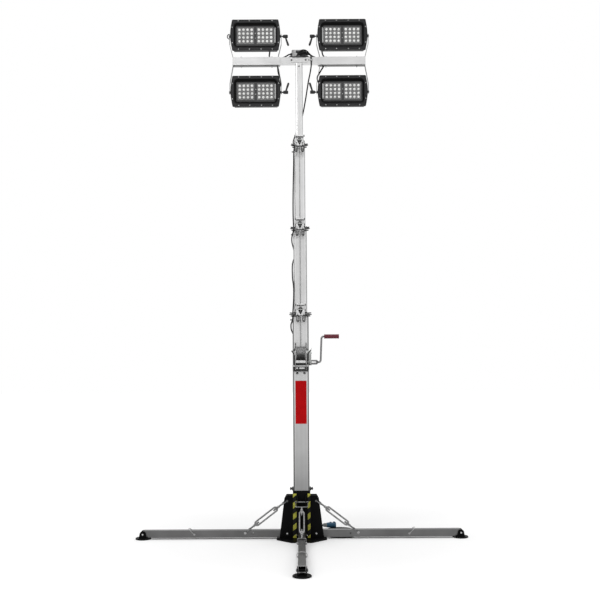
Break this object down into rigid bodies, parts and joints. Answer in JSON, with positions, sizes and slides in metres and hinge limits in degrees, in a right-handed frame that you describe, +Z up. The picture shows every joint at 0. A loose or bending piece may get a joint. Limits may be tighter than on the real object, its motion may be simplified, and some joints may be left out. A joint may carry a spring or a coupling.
{
  "type": "mobile light tower",
  "caption": "Portable light tower with folding cross legs, turnbuckle braces, a winch-driven telescopic mast and a crossbar of tilting floodlights.",
  "frame": {"origin": "centre of the base on the floor, on the mast's axis", "axes": "+Z up along the mast, -Y the side of the winch and of the lamps' windows, +X to the crank's side"},
  "size_m": [2.492, 2.492, 3.8756],
  "materials": {
    "aluminium": "satin drawn tube",
    "black_steel": "black powder coat",
    "zinc": "bright zinc plate",
    "black_plastic": "matt",
    "red_grip": "satin dark red",
    "rope": "stranded wire rope",
    "cable": "matt rubber sheath",
    "blue_plug": "satin blue",
    "led_panel": "pale lens panel",
    "gear_case": "cast, light grey"
  },
  "bodies": {
    "base": {"base_plate": "black_steel", "base_frame": "black_steel", "mast_1": "aluminium", "collar_1": "zinc", "rope_1": "rope", "winch_frame": "zinc", "winch_gear_case": "gear_case", "leg_pin_right": "zinc", "leg_pin_back": "zinc", "leg_pin_left": "zinc", "leg_pin_front": "zinc", "cable_tail": "cable", "cable_lead": "cable", "cable_coil": "cable", "cable_plug": "blue_plug"},
    "section_2": {"mast_2": "aluminium", "collar_2": "zinc", "rope_2": "rope", "cable_2": "cable"},
    "section_3": {"mast_3": "aluminium", "collar_3": "zinc", "rope_3": "rope", "cable_3": "cable"},
    "head": {"mast_4": "aluminium", "crossbar": "aluminium", "junction_box": "black_plastic", "cable_4": "cable", "yoke_upper_left": "zinc", "yoke_upper_right": "zinc", "yoke_lower_left": "zinc", "yoke_lower_right": "zinc"},
    "drum": {"winch_drum": "rope"},
    "crank": {"winch_crank": "zinc", "crank_grip": "red_grip"},
    "pulley_1": {"sheave_1": "black_plastic"},
    "pulley_2": {"sheave_2": "black_plastic"},
    "pulley_3": {"sheave_3": "black_plastic"},
    "leg_right": {"leg_right": "aluminium"},
    "foot_right": {"foot_right": "black_steel"},
    "brace_right": {"brace_right": "zinc"},
    "leg_back": {"leg_back": "aluminium"},
    "foot_back": {"foot_back": "black_steel"},
    "brace_back": {"brace_back": "zinc"},
    "leg_left": {"leg_left": "aluminium"},
    "foot_left": {"foot_left": "black_steel"},
    "brace_left": {"brace_left": "zinc"},
    "leg_front": {"leg_front": "aluminium"},
    "foot_front": {"foot_front": "black_steel"},
    "brace_front": {"brace_front": "zinc"},
    "lamp_upper_left": {"lamp_upper_left": "black_plastic", "led_panel_upper_left": "led_panel"},
    "lamp_upper_right": {"lamp_upper_right": "black_plastic", "led_panel_upper_right": "led_panel"},
    "lamp_lower_left": {"lamp_lower_left": "black_plastic", "led_panel_lower_left": "led_panel"},
    "lamp_lower_right": {"lamp_lower_right": "black_plastic", "led_panel_lower_right": "led_panel"}
  },
  "joints": [
    {"name": "mast_slide_1", "type": "slide", "parent": "base", "child": "section_2", "axis": [0, 0, 1], "range_m": [-0.45, 0.6], "deforming": ["rope_2", "cable_2"]},
    {"name": "mast_slide_2", "type": "slide", "parent": "section_2", "child": "section_3", "axis": [0, 0, 1], "range_m": [-0.45, 0.6], "deforming": ["rope_3", "cable_3"]},
    {"name": "mast_slide_3", "type": "slide", "parent": "section_3", "child": "head", "axis": [0, 0, 1], "range_m": [-0.45, 0.6], "deforming": ["cable_4"]},
    {"name": "pulley_1_turn", "type": "hinge", "parent": "base", "child": "pulley_1", "pos_m": [0, -0.076, 1.7023], "axis": [1, 0, 0], "continuous": true},
    {"name": "pulley_2_turn", "type": "hinge", "parent": "section_2", "child": "pulley_2", "pos_m": [0, -0.06675, 2.3383], "axis": [1, 0, 0], "continuous": true},
    {"name": "pulley_3_turn", "type": "hinge", "parent": "section_3", "child": "pulley_3", "pos_m": [0, -0.05475, 2.9573], "axis": [1, 0, 0], "continuous": true},
    {"name": "crank_turn", "type": "hinge", "parent": "base", "child": "crank", "pos_m": [0, -0.145, 1.315], "axis": [1, 0, 0], "continuous": true},
    {"name": "drum_turn", "type": "hinge", "parent": "base", "child": "drum", "pos_m": [0, -0.125, 1.376], "axis": [1, 0, 0], "continuous": true},
    {"name": "leg_right_fold", "type": "hinge", "parent": "base", "child": "leg_right", "pos_m": [0.108, 0, 0.041], "axis": [0, -1, 0], "range_deg": [0, 78]},
    {"name": "brace_right_swing", "type": "hinge", "parent": "base", "child": "brace_right", "pos_m": [0.108, 0, 0.286], "axis": [0, -1, 0], "range_deg": [0, 125]},
    {"name": "foot_right_tilt", "type": "hinge", "parent": "leg_right", "child": "foot_right", "pos_m": [1.187, 0, 0.04], "axis": [0, -1, 0], "range_deg": [-3, 30]},
    {"name": "leg_back_fold", "type": "hinge", "parent": "base", "child": "leg_back", "pos_m": [0, 0.108, 0.041], "axis": [1, 0, 0], "range_deg": [0, 78]},
    {"name": "brace_back_swing", "type": "hinge", "parent": "base", "child": "brace_back", "pos_m": [0, 0.108, 0.286], "axis": [1, 0, 0], "range_deg": [0, 125]},
    {"name": "foot_back_tilt", "type": "hinge", "parent": "leg_back", "child": "foot_back", "pos_m": [0, 1.187, 0.04], "axis": [1, 0, 0], "range_deg": [-3, 30]},
    {"name": "leg_left_fold", "type": "hinge", "parent": "base", "child": "leg_left", "pos_m": [-0.108, 0, 0.041], "axis": [0, 1, 0], "range_deg": [0, 78]},
    {"name": "brace_left_swing", "type": "hinge", "parent": "base", "child": "brace_left", "pos_m": [-0.108, 0, 0.286], "axis": [0, 1, 0], "range_deg": [0, 125]},
    {"name": "foot_left_tilt", "type": "hinge", "parent": "leg_left", "child": "foot_left", "pos_m": [-1.187, 0, 0.04], "axis": [0, 1, 0], "range_deg": [-3, 30]},
    {"name": "leg_front_fold", "type": "hinge", "parent": "base", "child": "leg_front", "pos_m": [0, -0.108, 0.041], "axis": [-1, 0, 0], "range_deg": [0, 78]},
    {"name": "brace_front_swing", "type": "hinge", "parent": "base", "child": "brace_front", "pos_m": [0, -0.108, 0.286], "axis": [-1, 0, 0], "range_deg": [0, 125]},
    {"name": "foot_front_tilt", "type": "hinge", "parent": "leg_front", "child": "foot_front", "pos_m": [0, -1.187, 0.04], "axis": [-1, 0, 0], "range_deg": [-3, 30]},
    {"name": "lamp_upper_left_tilt", "type": "hinge", "parent": "head", "child": "lamp_upper_left", "pos_m": [-0.325, 0, 3.7606], "axis": [1, 0, 0], "range_deg": [-60, 90]},
    {"name": "lamp_upper_right_tilt", "type": "hinge", "parent": "head", "child": "lamp_upper_right", "pos_m": [0.325, 0, 3.7606], "axis": [1, 0, 0], "range_deg": [-60, 90]},
    {"name": "lamp_lower_left_tilt", "type": "hinge", "parent": "head", "child": "lamp_lower_left", "pos_m": [-0.325, 0, 3.3416], "axis": [1, 0, 0], "range_deg": [-60, 90]},
    {"name": "lamp_lower_right_tilt", "type": "hinge", "parent": "head", "child": "lamp_lower_right", "pos_m": [0.325, 0, 3.3416], "axis": [1, 0, 0], "range_deg": [-60, 90]}
  ],
  "couplings": [
    {"joint": "mast_slide_2", "follows": "mast_slide_1", "ratio": 1},
    {"joint": "mast_slide_3", "follows": "mast_slide_1", "ratio": 1},
    {"joint": "drum_turn", "follows": "crank_turn", "ratio": -0.25},
    {"joint": "brace_right_swing", "follows": "leg_right_fold", "ratio": 1.6},
    {"joint": "brace_back_swing", "follows": "leg_back_fold", "ratio": 1.6},
    {"joint": "brace_left_swing", "follows": "leg_left_fold", "ratio": 1.6},
    {"joint": "brace_front_swing", "follows": "leg_front_fold", "ratio": 1.6}
  ]
}
